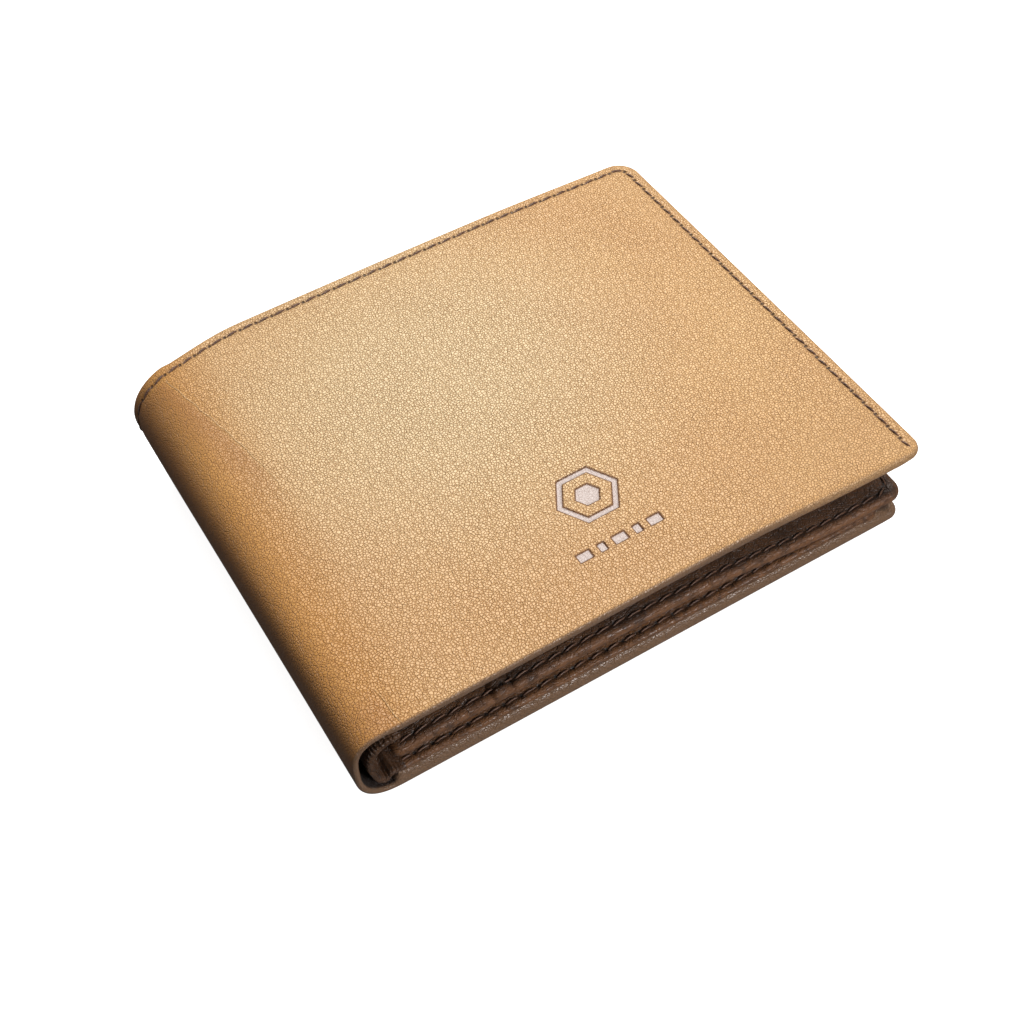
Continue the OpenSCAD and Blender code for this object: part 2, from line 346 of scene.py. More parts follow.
class Finish:
    """A material under construction: its nodes are made and joined by short calls."""

    def __init__(self, name):
        self.material = bpy.data.materials.new(name)
        self.material.use_nodes = True
        self.tree = self.material.node_tree
        self.shader = self.tree.nodes["Principled BSDF"]

    def node(self, kind, inputs=(), **settings):
        return add_node(self.tree, kind, inputs, **settings)

    def note(self, key, output="Fac"):
        return self.node("ShaderNodeAttribute", attribute_name=key).outputs[output]

    def grain(self):
        return self.note("grain", "Vector")

    def axes(self):
        return self.node("ShaderNodeSeparateXYZ", {"Vector": self.grain()}).outputs

    def maths(self, what, a, b=0.0):
        return self.node("ShaderNodeMath", {0: a, 1: b}, operation=what).outputs[0]

    def times(self, a, b):
        return self.maths("MULTIPLY", a, b)

    def plus(self, a, b):
        return self.maths("ADD", a, b)

    def total(self, *terms):
        """The sum of (value, weight) pairs."""
        out = self.times(*terms[0])
        for value, weight in terms[1:]:
            out = self.plus(out, self.times(value, weight))
        return out

    def span(self, value, a, b, c=0.0, d=1.0, kind="SMOOTHSTEP"):
        return self.node("ShaderNodeMapRange", {"Value": value, "From Min": a, "From Max": b,
                                                "To Min": c, "To Max": d},
                         interpolation_type=kind).outputs["Result"]

    def mix(self, share, a, b):
        n = self.node("ShaderNodeMix", data_type="RGBA", blend_type="MIX")
        for socket, value in zip((n.inputs[0], n.inputs[6], n.inputs[7]), (share, a, b)):
            put(self.tree, socket, value)
        return n.outputs[2]

    def over(self, base, share, colour, strength):
        return self.mix(self.times(share, strength), base, colour)

    def noise(self, where, scale, detail=3.0, rough=0.55):
        return self.node("ShaderNodeTexNoise", {"Vector": where, "Scale": scale, "Detail": detail,
                                                "Roughness": rough}).outputs["Fac"]

    def patches(self, scale, detail=3.0, a=0.3, b=0.7, c=0.0, d=1.0):
        """Soft patches: noise on the grain, spread from the range a to b over c to d."""
        return self.span(self.noise(self.grain(), scale, detail), a, b, c, d)

    def skin(self):
        """The grain's place laid flat, with turned edges unrolled, for patterns in the plane."""
        s = self.axes()
        return self.node("ShaderNodeCombineXYZ", {
            "X": self.maths("SUBTRACT", s["X"], s["Z"]), "Y": self.plus(s["Y"], s["Z"])}).outputs[0]

    def cracks(self, where, scale):
        return self.node("ShaderNodeTexVoronoi", {"Vector": where, "Scale": scale},
                         feature="DISTANCE_TO_EDGE", voronoi_dimensions="2D").outputs["Distance"]

    def warped(self, where, scale, amount):
        n = self.node("ShaderNodeTexNoise", {"Vector": where, "Scale": scale, "Detail": 2.0})
        off = self.node("ShaderNodeVectorMath", {0: n.outputs["Color"], 1: (0.5, 0.5, 0.5)},
                        operation="SUBTRACT").outputs[0]
        off = self.node("ShaderNodeVectorMath", {0: off, "Scale": amount},
                        operation="SCALE").outputs[0]
        return self.node("ShaderNodeVectorMath", {0: where, 1: off}, operation="ADD").outputs[0]

    def bump(self, height, distance_mm, strength=1.0):
        self.set(Normal=self.node("ShaderNodeBump", {
            "Height": height, "Strength": strength, "Distance": distance_mm * MM}).outputs[0])

    def set(self, **values):
        for key, value in values.items():
            put(self.tree, self.shader.inputs[key.replace("_", " ")], value)


def rgb(r, g, b):
    """A colour given in screen values, as the linear one that a shader takes."""
    return tuple(((c / 255 + 0.055) / 1.055) ** 2.4 for c in (r, g, b)) + (1.0,)


def shade(colour, k):
    return tuple(min(1, c * k) for c in colour[:3]) + (1,)


def pebbled(f, cell):
    """Fine crackled grain: (share of a fine groove, share of a longer wrinkle), 1 in the groove."""
    where = f.warped(f.skin(), 0.9, 0.28)
    fine = f.span(f.cracks(where, 1.0 / cell), 0.02, 0.2, 1.0, 0.0)
    long = f.span(f.cracks(f.warped(f.skin(), 0.8, 0.9), 0.36 / cell), 0.0, 0.08, 1.0, 0.0)
    return fine, long


def sewn(f, base, dark, strength):
    """Paints shade into the groove of a seam and its needle holes: (colour, share of a hole)."""
    off = f.note("seam")
    phase = f.maths("ABSOLUTE", f.maths("SUBTRACT", f.maths("FRACT", f.note("stitch")), 0.5))
    along = f.times(phase, PITCH)
    reach = f.maths("SQRT", f.plus(f.times(along, along), f.times(off, off)))
    hole = f.span(reach, 0.2, 0.5, 1.0, 0.0)
    base = f.mix(f.span(off, 0.2, 0.7, strength, 0.0), base, dark)
    return f.over(base, hole, shade(dark, 0.25), 0.9), hole


def make_tan():
    f = Finish("tan_leather")
    fine, long = pebbled(f, 0.56)
    place = f.axes()
    crease, press, handled, mark = (f.note(k) for k in ("crease", "press", "handled", "mark"))
    base = f.mix(f.patches(0.03), rgb(246, 197, 136), rgb(251, 204, 141))
    # painted light: darker towards the open side, where less light falls, and a painted sheen that
    # makes the middle of the cover paler
    off = f.node("ShaderNodeVectorMath", {0: f.grain(), 1: (-9.0, 14.0, 0.0)}, operation="DISTANCE")
    base = f.mix(f.span(place["Y"], -6.0, -44.0, 0.0, 0.25), base, rgb(226, 174, 116))
    base = f.mix(f.span(off.outputs["Value"], 8.0, 60.0, 0.78, 0.0), base, rgb(255, 230, 180))
    base = f.over(base, f.patches(0.9, 4.0, 0.35), rgb(212, 158, 100), 0.07)
    # deeper orange colour round the spine, and painted shade that darkens it towards its middle,
    # where it turns away from the lamps
    base = f.mix(f.span(place["X"], -40.0, -54.0, 0.0, 0.8), base, rgb(222, 158, 74))
    base = f.mix(f.span(place["X"], -52.0, -63.0, 0.0, 0.75), base, rgb(146, 88, 40))
    groove = f.times(fine, f.patches(0.05, 2.0, 0.35, 0.65, 0.88, 1.0))
    base = f.over(base, groove, rgb(172, 108, 52), 0.72)
    base = f.over(base, long, rgb(150, 92, 46), 0.16)

    # crease beside the spine: a pressed line, dark for a crack and for painted shadow, a painted
    # highlight along it and a deeper spine side
    def line(at):
        off_line = f.maths("ABSOLUTE", f.plus(crease, -at))
        return f.times(f.span(off_line, 0.0, 0.16, 1.0, 0.0), press)

    pressed_line = line(0.0)
    cracked = f.span(place["Y"], -20.0, -34.0, 0.3, 0.6)
    base = f.over(base, pressed_line, rgb(126, 74, 38), cracked)
    # painted highlight along the crease
    base = f.over(base, line(0.22), rgb(250, 214, 164), 0.5)
    beside = f.times(f.span(crease, 0.1, -0.8), f.span(crease, -9.0, -1.0))
    base = f.over(base, f.times(beside, press), rgb(190, 130, 74), 0.5)
    # painted shade: greyer on the shaded side of the turned edge, dark in the hollow of the spine's
    # end and on the back hem under the inner body
    base = f.mix(handled, base, rgb(146, 112, 84))
    base = f.mix(f.note("flesh"), base, rgb(46, 32, 24))
    base, hole = sewn(f, base, rgb(112, 68, 38), 0.3)
    # pressed mark: pale floor with a dark edge
    base = f.mix(f.span(mark, 0.28, 0.08, 0.0, 0.85), base, rgb(112, 66, 38))
    pressed = f.span(mark, -0.06, -0.16)
    base = f.mix(pressed, base, f.mix(f.patches(3.2, 2.0), rgb(204, 183, 173), rgb(232, 216, 209)))
    # the same turned-edge mask also makes the leather a little glossier there
    rough = f.plus(f.span(groove, 0.0, 1.0, 0.4, 0.6, "LINEAR"), f.times(handled, -0.08))
    f.set(Base_Color=base, Roughness=rough, Specular_IOR_Level=0.55, Sheen_Weight=0.06,
          Sheen_Roughness=0.5)
    height = f.total((groove, -0.7), (long, -0.6), (hole, -2.0), (pressed_line, -0.8),
                     (f.noise(f.grain(), 1.3, 2.0), 0.6))
    f.bump(f.times(height, f.span(pressed, 0.0, 1.0, 1.0, 0.25, "LINEAR")), 0.16, 0.9)
    return f.material


def make_brown(name, light, dark):
    f = Finish(name)
    fine, long = pebbled(f, 0.5)
    base = f.mix(f.patches(0.12), light, dark)
    base = f.over(base, fine, shade(dark, 0.5), 0.4)
    base = f.over(base, long, shade(dark, 0.4), 0.5)
    # paler along the edges: partly wear, partly a painted highlight on their rounded crests
    edge = f.span(f.note("edge"), 0.0, 1.6, 0.6, 0.0)
    base = f.over(base, edge, shade(light, 2.2), f.patches(0.6, 3.0, 0.25, 0.65))
    base, hole = sewn(f, base, shade(dark, 0.35), 0.6)
    f.set(Base_Color=base, Roughness=f.span(fine, 0.0, 1.0, 0.38, 0.53, "LINEAR"),
          Specular_IOR_Level=0.7, Sheen_Weight=0.05, Sheen_Roughness=0.45)
    wrinkle = f.span(f.cracks(f.warped(f.skin(), 0.25, 3.5), 0.16), 0.0, 0.05, -1.0, 0.0)
    f.bump(f.total((fine, -0.7), (long, -1.2), (wrinkle, 1.0),
                   (f.noise(f.grain(), 0.7, 3.0), 0.9), (hole, -1.0)), 0.1, 0.8)
    return f.material


def make_thread():
    f = Finish("thread")
    where = f.node("ShaderNodeTexCoord").outputs["Object"]
    ply = f.node("ShaderNodeTexWave", {"Vector": where, "Scale": 700.0, "Distortion": 2.0},
                 bands_direction="DIAGONAL").outputs["Fac"]
    dye = f.span(f.noise(where, 900.0, 2.0), 0.3, 0.7)
    # painted highlight along the twist of the plies
    base = f.over(f.mix(dye, rgb(70, 43, 30), rgb(106, 72, 52)), ply, rgb(150, 116, 92), 0.35)
    f.set(Base_Color=base, Roughness=0.42, Specular_IOR_Level=0.55, Sheen_Weight=0.25,
          Sheen_Roughness=0.4)
    f.bump(ply, 0.05, 0.6)
    return f.material


def make_cloth():
    f = Finish("lining_cloth")
    place = f.axes()
    yarns = 2 * math.pi / 0.5
    weave = f.times(*(f.maths("SINE", f.times(place[axis], yarns)) for axis in "XY"))
    base = f.mix(f.span(weave, -1.0, 1.0), rgb(66, 50, 40), rgb(98, 78, 62))
    base = f.mix(f.patches(0.8, d=0.4), base, rgb(78, 60, 48))
    f.set(Base_Color=base, Roughness=0.78, Specular_IOR_Level=0.3, Sheen_Weight=0.3)
    f.bump(weave, 0.05, 0.8)
    return f.material


def make_board():
    f = Finish("board")
    fibre = f.noise(f.grain(), 2.5, 5.0, 0.7)
    base = f.mix(f.span(fibre, 0.3, 0.7), rgb(186, 174, 150), rgb(206, 196, 174))
    base = f.over(base, f.patches(6.0, 2.0, 0.62), rgb(140, 124, 100), 0.4)
    f.set(Base_Color=base, Roughness=0.85, Specular_IOR_Level=0.25)
    f.bump(fibre, 0.05, 0.6)
    return f.material


def make_film():
    f = Finish("clear_film")
    f.set(Base_Color=(0.93, 0.95, 0.96, 1), Roughness=f.patches(0.15, c=0.06, d=0.16),
          IOR=1.49, Transmission_Weight=0.9)
    f.bump(f.noise(f.grain(), 0.08, 2.0), 0.15, 0.4)
    return f.material


TAN = make_tan()
BROWN = make_brown("brown_leather", rgb(116, 78, 48), rgb(76, 51, 32))
POCKET = make_brown("pocket_leather", rgb(112, 70, 50), rgb(86, 53, 39))
THREAD = make_thread()
CLOTH = make_cloth()
BOARD = make_board()
FILM = make_film()


# ---- the covers and the spine ----

class Arc:
    """A quarter of the spine's section, by distance along it from the flat cover."""

    def __init__(self, reach, rise, power):
        t = np.linspace(0, math.pi / 2, 1500)
        x = reach * np.sin(t) ** (2 / power)
        z = rise * np.cos(t) ** (2 / power)
        self.at = np.concatenate([[0], np.cumsum(np.hypot(np.diff(x), np.diff(z)))])
        self.length = self.at[-1]
        nx, nz = (x / reach) ** (power - 1) / reach, (z / rise) ** (power - 1) / rise
        n = np.hypot(nx, nz)
        self.x, self.z, self.nx, self.nz = x, z, nx / n, nz / n

    def point(self, along, depth):
        take = lambda v: np.interp(along, self.at, v)
        nx, nz = take(self.nx), take(self.nz)
        n = np.hypot(nx, nz)
        return take(self.x) - depth * nx / n, take(self.z) - depth * nz / n


# the spine's section at its two ends: boxy at the open side, round at the far end
FRONT_ARCS = Arc(9.1, MID, 3.4), Arc(9.5, MID, 2.05)
BACK_ARCS = Arc(9.1, MID, 2.6), Arc(9.5, MID, 2.1)
ARC_L = 15.0                          # length given to each quarter of the spine along the leather
NOTE_GAP = 0.4                        # empty note compartment
BRIDGE_T = body_hi[2] - (SLAB + NOTE_GAP)
BRIDGE_ARC = Arc(6.7, MID - SLAB - NOTE_GAP, 2.3)


def front_rise(x, y, under=0.0):
    """The front half isn't flat: it bows up along the open side and droops at the far corner."""
    near = 1.4 * np.exp(-((x - 18) / np.where(x < 18, 33.0, 21.0)) ** 2)
    far = 0.5 * np.sin(np.clip((x - SPINE_X) / 110, 0, 1) * math.pi)
    far = far - (0.7 - 0.5 * under) * smooth(22, 62, x)
    t = (y - NEAR) / (FAR - NEAR)
    return near * (1 - t) ** 1.2 + far * t ** 1.5


def drawn_in(x, y):
    """The far edge is drawn in towards the spine, where the leather has to turn."""
    return y - 3.8 * smooth(-34, -60, x) * smooth(FAR - 34, FAR, y)


def arc_point(arcs, along, depth, y):
    """A point of the spine's section, whose shape changes along the spine."""
    t = smooth(NEAR + 12, FAR - 6, y)
    near, far = (a.point(along * a.length / ARC_L, depth) for a in arcs)
    return tuple(n + (f - n) * t for n, f in zip(near, far))


def in_cover(s, y, front, fore):
    return round_corners(s, y, -NO_EDGE, fore, NEAR, FAR, COVER_CORNERS[front])


def cover_place(front, fore):
    arcs = FRONT_ARCS if front else BACK_ARCS

    def place(s, y, depth, square=False):
        x, yy = (s, y) if square else in_cover(s, y, front, fore)[:2]
        along = np.clip(SPINE_X - s, 0, None)
        ax, az = arc_point(arcs, along, depth, yy)
        flat = s >= SPINE_X
        z = np.where(flat, HEIGHT - depth, MID + az)
        x = np.where(flat, x, SPINE_X - ax)
        yy = drawn_in(x, yy)
        if front:
            z = z + front_rise(x, yy, 0.3 * depth) * smooth(SPINE_X - 8, SPINE_X + 2, x)
        else:
            z = HEIGHT - z
        return x, yy, z

    return place


MARK_X, MARK_Y = 1.3, -26.3           # middle of the pressed mark
BARS_X, BARS_Y = 0.9, -37.7           # middle of its row of bars
MARK_FINE = 0.24                      # grid step where the mark is
CREASE_Y = (-50, -38, -24, -8, 9, 22, 34, 44, 50)
CREASE_X = (-49.8, -50.8, -49.0, -45.8, -45.0, -47.4, -50.0, -52.2, -53.2)


def mark_distance(x, y):
    """Signed distance to the mark: a hexagon frame round a small hexagon, over a row of bars."""
    ax, ay = np.abs(x - MARK_X), np.abs(y - MARK_Y)
    hexagon = lambda r: np.maximum(ax * 0.866 + ay * 0.5, ay) - r
    d = np.minimum(np.maximum(hexagon(5.6), -hexagon(4.5)), hexagon(2.2))
    for k, wide in enumerate((1.9, 1.0, 1.9, 1.0, 1.9)):
        bx = BARS_X + (k - 2) * 3.7
        bar = np.maximum(np.abs(x - bx) - wide * 0.72, np.abs(y - BARS_Y) - 0.95)
        d = np.minimum(d, bar)
    return d


def cover_seam(fore):
    """The seam of a cover in plan: along the far edge, round the corner and down the fore edge."""
    x1, y1, r = fore - SEAM_IN, FAR - SEAM_IN, 2.4
    bend = [(x1 - r + r * math.sin(a), y1 - r + r * math.cos(a))
            for a in np.linspace(0, math.pi / 2, 7)]
    return [(SPINE_X - ARC_L + 1.2, y1)] + bend + [(x1, NEAR + 2.6)]


def crease_distance(s, y):
    """Signed distance to the crease beside the spine, less than 0 on the spine's side, and how
    deep it is pressed: it shows at the far end and cracks at the near end."""
    press = smooth(0, 18, y) * smooth(FAR - 3.6, FAR - 4.6, y) + 0.9 * smooth(-40, -46, y)
    return s - np.interp(y, CREASE_Y, CREASE_X) - 0.12 * np.sin(y * 1.1), press


def cover_depths(shell, d, fore, front):
    """Local thickness, and how far the outer and the inner face have dropped at distance d from
    the turned edge."""
    start = SPINE_X - (2.6 if front else 2.2)
    flat = smooth(start, SPINE_X + 0.7 if front else start + 0.9, shell.s)
    sewn_in = np.minimum(fore - shell.s, FAR - shell.y)
    full = SLAB - SEWN_LESS * smooth(SEWN_FROM, SEWN_TO, sewn_in)
    thick = SPINE_EDGE + (full - SPINE_EDGE) * flat
    # the open edge has a tight fold outside, the sewn edges are round
    fold = SPINE_EDGE / 2 + (0.9 if front else 0.4) * smooth(-40, 40, shell.s)
    outer = fold + (thick / 2 - fold) * smooth(4.0, 1.0, sewn_in) * flat
    return thick, round_depth(d, outer), round_depth(d, thick - outer)


def cover(name, front, fore):
    """A cover with its half of the spine: one leather, turned in round the board at three sides."""
    step, hem_in = 1.35, HEM - 0.1
    rows = near_lines([SKIN], round_rows(0.62, 4) + round_rows(1.3, 4) + round_rows(2.5, 6))
    thin = near_lines([0.0], round_rows((SLAB - SEWN_LESS) / 2))[1:]
    seam = [-0.9, -0.5, -0.2, 0.2, 0.5, 0.9]
    room_x = HALF_X + 0.3                    # the board's room starts here
    s_stops = [SPINE_X - ARC_L, (SPINE_X, 0.62), (room_x, 0.5)]
    y_stops = [NEAR] + [NEAR + r for r in rows] + [NEAR + hem_in]
    if front:                                # finer round the mark
        s_stops += [(-8.9, step), (10.7, MARK_FINE)]
        y_stops += [-39.1, (-36.3, MARK_FINE), -32.3, (-20.3, MARK_FINE)]
    for stops, end in ((s_stops, fore), (y_stops, FAR)):
        stops += [end - hem_in, end - SEWN_FROM, (end - SEWN_TO - 1.0, 0.6)]
        stops += [end - SEAM_IN + k for k in seam]
        stops += [end - r for r in reversed(thin)] + [end]
    shell = Shell(lines(s_stops, step), lines(y_stops, step), cover_place(front, fore))
    x, y, d = in_cover(shell.s, shell.y, front, fore)
    thick, drop, drop_in = cover_depths(shell, d, fore, front)
    seam_d, count = along_seam(x, y, cover_seam(fore))
    top = drop + dent(seam_d, 0.2, 0.42) + dent(seam_d, 0.1, 1.6)
    near_edge = smooth(FAR - 12, FAR - 30, shell.y)
    # painted shade inside the spine's turned end
    flesh = smooth(SPINE_X - 1.6, SPINE_X - 2.2, shell.s) * smooth(0.35, 0.9, d)
    crease = mark = np.full(d.shape, AWAY)
    press = np.zeros(d.shape)
    if front:
        crease, press = crease_distance(shell.s, shell.y)
        mark = mark_distance(x, y)
        top = top + press * dent(crease, 0.09, 0.5) + 0.28 * smooth(0.14, -0.14, mark)
        # painted shade on the shaded side of the turned near edge, which also lowers its roughness
        handled = near_edge * (1 - 0.6 * smooth(15, 50, shell.s)) * smooth(0.7, 0.1, d)
    else:
        # painted shade on the back cover's near hem, which also lowers its roughness
        handled = near_edge * smooth(4.6, 3.2, d)
    high = shell.level(top, seam=seam_d, stitch=count, crease=crease, press=press,
                       mark=mark, edge=d, handled=handled)
    if not front:
        # more painted shade on the back hem, where the inner body shades it
        flesh = np.maximum(flesh, 0.8 * near_edge * smooth(1.2, 2.4, d))
    low = shell.level(thick - drop_in, edge=d, flesh=flesh, handled=handled)
    shell.runs_on(fore, NEAR)
    inner = shell.level(SKIN, flesh=flesh)
    room = shell.level(SKIN + BOARD_T)
    # which cells are hem, board room inside the hem, and open middle
    sewn_in = np.minimum(FAR - shell.cell_y, fore - shell.cell_s)
    hem = np.minimum(shell.cell_y - NEAR, sewn_in) < hem_in
    hollow = hem & (shell.cell_y - NEAR > SKIN) & (shell.cell_s > room_x) & (sewn_in > SEWN_FROM)
    solid, open_middle = hem & ~hollow, ~hem
    shell.cover(high, shell.whole)
    shell.cover(low, hem)
    shell.cover(room, hollow)
    shell.cover(inner, ~solid)
    shell.wall(inner, room, solid, hollow)
    shell.wall(room, low, hollow, open_middle)
    shell.wall(inner, low, solid, open_middle)
    shell.wall(high, low, solid, ~shell.whole, ends=True)
    shell.wall(high, inner, open_middle, ~shell.whole, ends=True)
    return shell.finish(name, TAN)


def seam_mesh(name, points, ups):
    """A polyline for stitches to follow, with the direction away from the leather."""
    mesh = bpy.data.meshes.new(name)
    mesh.from_pydata((points * MM).tolist(), [(i, i + 1) for i in range(len(points) - 1)], [])
    mesh.attributes.new("up", "FLOAT_VECTOR", "POINT").data.foreach_set(
        "vector", ups.astype(np.float32).ravel())
    return mesh


def stitch_tree():
    """Stitches along a path: an arched piece of thread at every pitch, its ends in the leather."""
    tree = bpy.data.node_groups.new("stitches", "GeometryNodeTree")
    for label, kind in (("Path", "Geometry"), ("Pitch", "Float"), ("Length", "Float"),
                        ("Width", "Float"), ("Slant", "Float"), ("Seed", "Int"),
                        ("Finish", "Material")):
        tree.interface.new_socket(label, in_out="INPUT", socket_type="NodeSocket" + kind)
    tree.interface.new_socket("Stitches", in_out="OUTPUT", socket_type="NodeSocketGeometry")

    given = add_node(tree, "NodeGroupInput").outputs

    def node(kind, links=(), **settings):
        made = add_node(tree, kind, links, **settings)
        return next(s for s in made.outputs if s.enabled)

    times = lambda a, b: node("ShaderNodeMath", {0: a, 1: b}, operation="MULTIPLY")
    vector = lambda **parts: node("ShaderNodeCombineXYZ", parts)
    path = node("GeometryNodeMeshToCurve", {"Mesh": given["Path"]})
    points = node("GeometryNodeResampleCurve", {"Curve": path, "Length": given["Pitch"]},
                  mode="LENGTH")
    # each stitch lies along the path, turned by the slant and a little at random
    up = node("GeometryNodeInputNamedAttribute", {"Name": "up"}, data_type="FLOAT_VECTOR")
    turn = node("FunctionNodeAxesToRotation",
                {"Primary Axis": node("GeometryNodeInputTangent"), "Secondary Axis": up},
                primary_axis="X", secondary_axis="Z")
    jitter = node("FunctionNodeRandomValue",
                  {"Min": -WANDER, "Max": WANDER, "Seed": given["Seed"]}, data_type="FLOAT")
    yaw = node("ShaderNodeMath", {0: given["Slant"], 1: jitter}, operation="ADD")
    yaw = node("FunctionNodeEulerToRotation", {0: vector(Z=yaw)})
    turn = node("FunctionNodeRotateRotation", {0: turn, 1: yaw}, rotation_space="LOCAL")
    half, width = times(given["Length"], 0.5), given["Width"]
    sunk = times(width, -0.75)
    bow = node("GeometryNodeCurveQuadraticBezier",
               {"Resolution": 6, "Start": vector(X=times(half, -1.0), Z=sunk),
                "Middle": vector(Z=times(width, 0.95)), "End": vector(X=half, Z=sunk)})
    ring = node("GeometryNodeCurvePrimitiveCircle", {"Resolution": 6, "Radius": times(width, 0.5)})
    made = node("GeometryNodeCurveToMesh", {"Curve": bow, "Profile Curve": ring, "Fill Caps": True})
    made = node("GeometryNodeInstanceOnPoints",
                {"Points": points, "Instance": made, "Rotation": turn})
    made = node("GeometryNodeRealizeInstances", {"Geometry": made})
    made = node("GeometryNodeSetShadeSmooth", {"Geometry": made})
    made = node("GeometryNodeSetMaterial", {"Geometry": made, "Material": given["Finish"]})
    add_node(tree, "NodeGroupOutput", {0: made})
    return tree


WANDER = 0.05                         # the most a stitch turns at random, either way
STITCHES = stitch_tree()


def sew(name, paths, seed, pitch=PITCH, length=2.5, width=0.42, slant=0.16):
    """One mesh of stitches from paths, each (points, ups) in mm."""
    bm = bmesh.new()
    for k, (points, ups) in enumerate(paths):
        holder = in_scene(name + "_path", seam_mesh(name + "_path", points, ups))
        modifier = holder.modifiers.new("stitches", "NODES")
        modifier.node_group = STITCHES
        values = {"Pitch": pitch * MM, "Length": length * MM, "Width": width * MM,
                  "Slant": slant, "Seed": seed + k, "Finish": THREAD}
        for item in STITCHES.interface.items_tree:
            if item.name in values:
                modifier[item.identifier] = values[item.name]
        made = holder.evaluated_get(bpy.context.evaluated_depsgraph_get())
        bm.from_mesh(bpy.data.meshes.new_from_object(made))
        holder.modifiers.clear()
        bpy.data.objects.remove(holder)
    bmesh.ops.recalc_face_normals(bm, faces=bm.faces)
    mesh = bpy.data.meshes.new(name)
    bm.to_mesh(mesh)
    bm.free()
    mesh.materials.clear()
    mesh.materials.append(THREAD)
    for p in mesh.polygons:
        p.use_smooth = True
    return in_scene(name, mesh)


def dense(points, step=1.0):
    """The points of a polyline, with others between them, at most step apart."""
    out = [np.array(points[0], float)]
    for a, b in zip(points[:-1], points[1:]):
        a, b = np.array(a, float), np.array(b, float)
        n = max(1, int(math.ceil(np.linalg.norm(b - a) / step)))
        out.extend(a + (b - a) * k / n for k in range(1, n + 1))
    return np.array(out)


def surface_path(place, path, depth, facing=1):
    """Points on a placed surface along a path in plan, and the direction away from it at each.
    facing is -1 where the surface looks the way depth grows."""
    s, y = dense(path).T
    at, above = (np.stack(place(s, y, np.full(s.shape, z), square=True), -1)
                 for z in (depth, depth - 0.4))
    up = facing * (above - at)
    return at, up / np.linalg.norm(up, axis=1, keepdims=True)


def across_spine(piece, front):
    """Bakes the piece's placement into its mesh, the same way for both halves."""
    if front:
        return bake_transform(piece)
    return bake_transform(piece)


def declare(piece, slot, *nodes, body=None):
    """Hides the nodes that the piece replaces and attaches it to its body, if one is given. The
    slot is not used.
    """
    if body:
        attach(piece, body)
    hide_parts(*nodes)


def stacked(front):
    """Places flat layers of a half: depth is measured from the outside of the cover."""

    def place(x, y, depth, square=False):
        if front:
            return x, y, HEIGHT - depth + front_rise(x, y, 1.0)
        return x, y, depth
    return place


LAYER_GAP = 0.03                      # between the leather and the stiff layers inside it

for front, fore in ((False, back_hi[0]), (True, front_hi[0])):
    half = "front" if front else "back"
    body = half + "_half"
    place = cover_place(front, fore)
    leather = cover(half + "_cover", front, fore)
    across_spine(leather, front)
    declare(leather, "tan_leather", half + "_cover_leather", "spine_leather")
    thread = sew(half + "_cover_seam", [surface_path(place, cover_seam(fore), 0.12)],
                 11 if front else 23, slant=0.17 if front else -0.17)
    across_spine(thread, front)
    declare(thread, "thread", half + "_cover_stitching", "spine_stitching")

    # board inside the hem
    board = slab(half + "_board", BOARD, [HALF_X + 0.45, fore - SEWN_FROM - 0.15],
                 [NEAR + SKIN + 0.15, FAR - SEWN_FROM - 0.15], place,
                 SKIN + LAYER_GAP, SKIN + BOARD_T - LAYER_GAP)
    declare(board, "board", half + "_cover_board", body=body)

    # cloth lining of the note compartment, glued to the board inside the hem
    x0, x1 = HALF_X + 0.5, fore - HEM
    y0, y1 = lining_lo[1], lining_hi[1]
    cloth = slab(half + "_note_cloth", CLOTH, [x0, x1], [y0, y1], place, SKIN + BOARD_T,
                 SKIN + BOARD_T + 0.3)
    declare(cloth, "lining_cloth", half + "_note_lining", body=body)

    # stiffener strip inside the spine
    strip = slab(half + "_spine_stiffener", BOARD, [SPINE_X - ARC_L, (SPINE_X - 0.5, 0.8)],
                 [NEAR + HEM, FAR - HEM], place, SKIN + LAYER_GAP, SKIN + 0.4, step=5.0)
    across_spine(strip, front)
    declare(strip, "board", "spine_stiffener")


# ---- the bridge lining and the inner bodies ----

def bridge_place(front):
    def place(s, y, depth):
        along = np.clip(HALF_X - s, 0, None)
        ax, az = BRIDGE_ARC.point(along, depth)
        x, z = HALF_X - ax, MID + az
        y = drawn_in(x, y)
        if front:
            return x, y, z + front_rise(x, y, 1.0) * smooth(HALF_X - 6, HALF_X, x)
        # the back half of the strip hangs down to the spine leather
        hang = smooth(2.3, 4.1, HALF_X - x) * smooth(6.7, 5.2, HALF_X - x)
        z = z + 1.9 * hang * smooth(NEAR + 8, NEAR + 3, y)
        return x, y, HEIGHT - z
    return place


def bridge(name, front, y0, y1):
    """Half of the brown strip inside the spine; its turned near edge is gathered in fine pleats."""
    rows = round_rows(BRIDGE_T / 2, 4)
    s = lines([HALF_X - BRIDGE_ARC.length, HALF_X], 0.14)
    y = lines(mirrored(y0, y1, rows, (y0 + 6, 0.6)), 3.0)
    shell = Shell(s, y, bridge_place(front))
    d = np.minimum(shell.y - y0, y1 - shell.y)
    pleat = 0.12 * np.sin(shell.s * 2 * math.pi / 0.85 + 0.7 * np.sin(shell.s * 1.7))
    pleat = pleat * np.exp(-d / 1.6) * smooth(0, 1.2, HALF_X - shell.s) * (d > 0.02)
    drop = round_depth(d, BRIDGE_T / 2)
    # edge is stretched so that the pale edge colour covers the strip: painted light on a strip that
    # lies in shade
    high = shell.level(drop + pleat, edge=d * 0.15)
    low = shell.level(BRIDGE_T - drop - pleat, edge=d * 0.15)
    shell.runs_on(NO_EDGE, y0)
    shell.close(high, low)
    return shell.finish(name, BROWN)


def notch(x, y, near):
    """The inner body steps back from the fore edge at the open corner."""
    return x - 5.2 * smooth(30, 57, x) * (1 - smooth(near + 5, near + 15, y))


